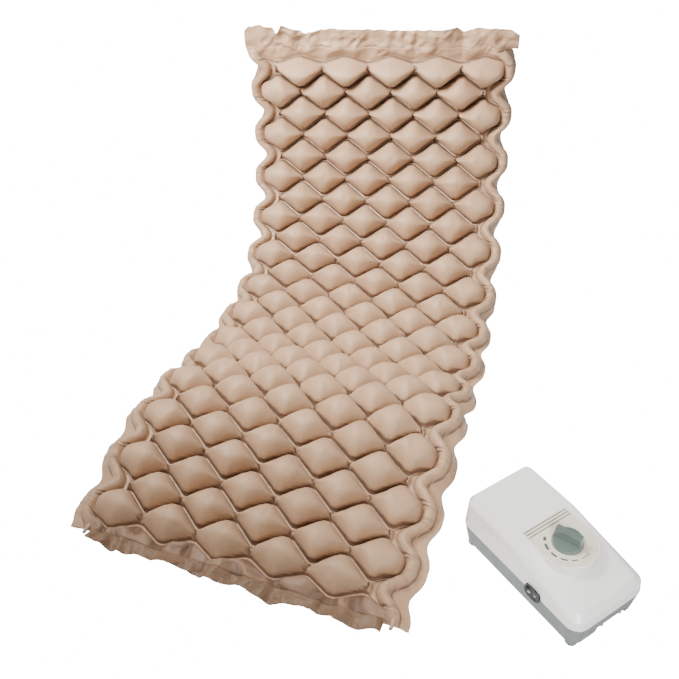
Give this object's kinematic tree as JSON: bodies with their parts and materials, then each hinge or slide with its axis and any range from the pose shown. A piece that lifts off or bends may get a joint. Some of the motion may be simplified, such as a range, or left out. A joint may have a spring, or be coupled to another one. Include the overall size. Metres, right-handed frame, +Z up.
{
  "type": "pressure relief mattress",
  "caption": "Alternating-pressure bubble pad draped with its back raised, with end flaps, edge air channels and the mains air pump that feeds it.",
  "frame": {"origin": "centre of the whole object's footprint on the floor", "axes": "+Z up, +Y from the foot end towards the raised head end, +X to the side where the pump stands"},
  "size_m": [1.3115, 1.5928, 0.7463],
  "materials": {
    "pad_sheet": "matte",
    "pad_cell": "matte",
    "pad_channel": "matte",
    "connector_plastic": "satin",
    "base_plastic": "satin",
    "cover_plastic": "gloss",
    "dial_film": "satin",
    "knob_plastic": "gloss",
    "black_plastic": "satin",
    "rubber": "matte",
    "nozzle_plastic": "satin",
    "steel": "satin",
    "core_steel": "matte",
    "coil_winding": "satin",
    "armature_aluminium": "satin",
    "tube_silicone": "satin",
    "inner_plastic": "matte"
  },
  "bodies": {
    "seat_section": {"base_sheet_seat": "pad_sheet", "cells_a_seat": "pad_cell", "cells_b_seat": "pad_cell", "channel_a_seat": "pad_channel", "channel_b_seat": "pad_channel"},
    "lumbar_section": {"base_sheet_lumbar": "pad_sheet", "cells_a_lumbar": "pad_cell", "cells_b_lumbar": "pad_cell", "channel_a_lumbar": "pad_channel", "channel_b_lumbar": "pad_channel"},
    "upper_back_section": {"base_sheet_upper_back": "pad_sheet", "cells_a_upper_back": "pad_cell", "cells_b_upper_back": "pad_cell", "channel_a_upper_back": "pad_channel", "channel_b_upper_back": "pad_channel"},
    "shoulder_section": {"base_sheet_shoulder": "pad_sheet", "cells_a_shoulder": "pad_cell", "cells_b_shoulder": "pad_cell", "channel_a_shoulder": "pad_channel", "channel_b_shoulder": "pad_channel"},
    "head_section": {"base_sheet_head": "pad_sheet", "cells_a_head": "pad_cell", "cells_b_head": "pad_cell", "channel_a_head": "pad_channel", "channel_b_head": "pad_channel"},
    "leg_section": {"base_sheet_leg": "pad_sheet", "cells_a_leg": "pad_cell", "cells_b_leg": "pad_cell", "channel_a_leg": "pad_channel", "channel_b_leg": "pad_channel", "pad_connector_a": "connector_plastic", "pad_connector_b": "connector_plastic"},
    "head_flap": {"head_flap": "pad_sheet"},
    "foot_flap": {"foot_flap": "pad_sheet"},
    "pressure_knob": {"pressure_knob": "knob_plastic", "regulator_stem": "steel"},
    "switch_rocker": {"switch_rocker": "black_plastic"},
    "compressor_armature": {"compressor_armature": "armature_aluminium"},
    "distributor_rotor": {"distributor_rotor": "inner_plastic"},
    "pump_case": {"pump_base_shell": "base_plastic", "pump_top_cover": "cover_plastic", "dial_plate": "dial_film", "regulator_body": "inner_plastic", "switch_bezel": "black_plastic", "rubber_feet": "rubber", "air_nozzle_a": "nozzle_plastic", "air_nozzle_b": "nozzle_plastic", "mains_inlet": "black_plastic", "case_screws": "steel", "compressor_cradle": "inner_plastic", "compressor_core": "core_steel", "compressor_coil": "coil_winding", "armature_pin": "steel", "compressor_diaphragm": "rubber", "valve_box": "inner_plastic", "distributor_motor": "steel", "distributor_body": "inner_plastic", "supply_tube": "tube_silicone", "tube_to_nozzle_a": "tube_silicone", "tube_to_nozzle_b": "tube_silicone"}
  },
  "joints": [
    {"name": "back_raise", "type": "hinge", "parent": "seat_section", "child": "lumbar_section", "pos_m": [-0.16673, 0.21848, 0.00992], "axis": [0.9998, -0.0204, 0.0015], "range_deg": [-20, 0]},
    {"name": "upper_back_bend", "type": "hinge", "parent": "lumbar_section", "child": "upper_back_section", "pos_m": [-0.16735, 0.42242, 0.06149], "axis": [0.9994, 0.0335, 0], "range_deg": [-20, 0]},
    {"name": "shoulder_bend", "type": "hinge", "parent": "upper_back_section", "child": "shoulder_section", "pos_m": [-0.17791, 0.58996, 0.18913], "axis": [0.9955, 0.0944, 0], "range_deg": [-20, 0]},
    {"name": "head_bend", "type": "hinge", "parent": "shoulder_section", "child": "head_section", "pos_m": [-0.19019, 0.69946, 0.36836], "axis": [0.992, 0.1262, 0], "range_deg": [-20, 0]},
    {"name": "leg_raise", "type": "hinge", "parent": "seat_section", "child": "leg_section", "pos_m": [-0.18236, -0.19644, 0.07096], "axis": [-0.9985, 0.0543, -0.0022], "range_deg": [0, 18]},
    {"name": "head_flap_fold", "type": "hinge", "parent": "head_section", "child": "head_flap", "pos_m": [-0.19307, 0.72189, 0.68241], "axis": [-0.9877, -0.1564, 0], "range_deg": [0, 90]},
    {"name": "foot_flap_fold", "type": "hinge", "parent": "leg_section", "child": "foot_flap", "pos_m": [-0.22306, -0.71762, 0.00801], "axis": [-0.9945, 0.1045, 0], "range_deg": [0, 50]},
    {"name": "pump_lift", "type": "slide", "parent": "seat_section", "child": "pump_case", "axis": [0, 0, 1], "range_m": [0, 0.3]},
    {"name": "knob_turn", "type": "hinge", "parent": "pump_case", "child": "pressure_knob", "pos_m": [0.49815, -0.5701, 0.15], "axis": [0, 0, -1], "range_deg": [-120, 120]},
    {"name": "switch_rock", "type": "hinge", "parent": "pump_case", "child": "switch_rocker", "pos_m": [0.44657, -0.64981, 0.0725], "axis": [0, 0, -1], "range_deg": [0, 16]},
    {"name": "armature_swing", "type": "hinge", "parent": "pump_case", "child": "compressor_armature", "pos_m": [0.40294, -0.49278, 0.0275], "axis": [-0.7431, 0.6691, 0], "range_deg": [-1.4, 1.4], "stiffness_Nm_per_rad": 6},
    {"name": "rotor_spin", "type": "hinge", "parent": "pump_case", "child": "distributor_rotor", "pos_m": [0.5, -0.62223, 0.05375], "axis": [0, 0, 1], "continuous": true}
  ],
  "couplings": [
    {"joint": "upper_back_bend", "follows": "back_raise", "ratio": 1},
    {"joint": "shoulder_bend", "follows": "back_raise", "ratio": 1},
    {"joint": "head_bend", "follows": "back_raise", "ratio": 1}
  ]
}
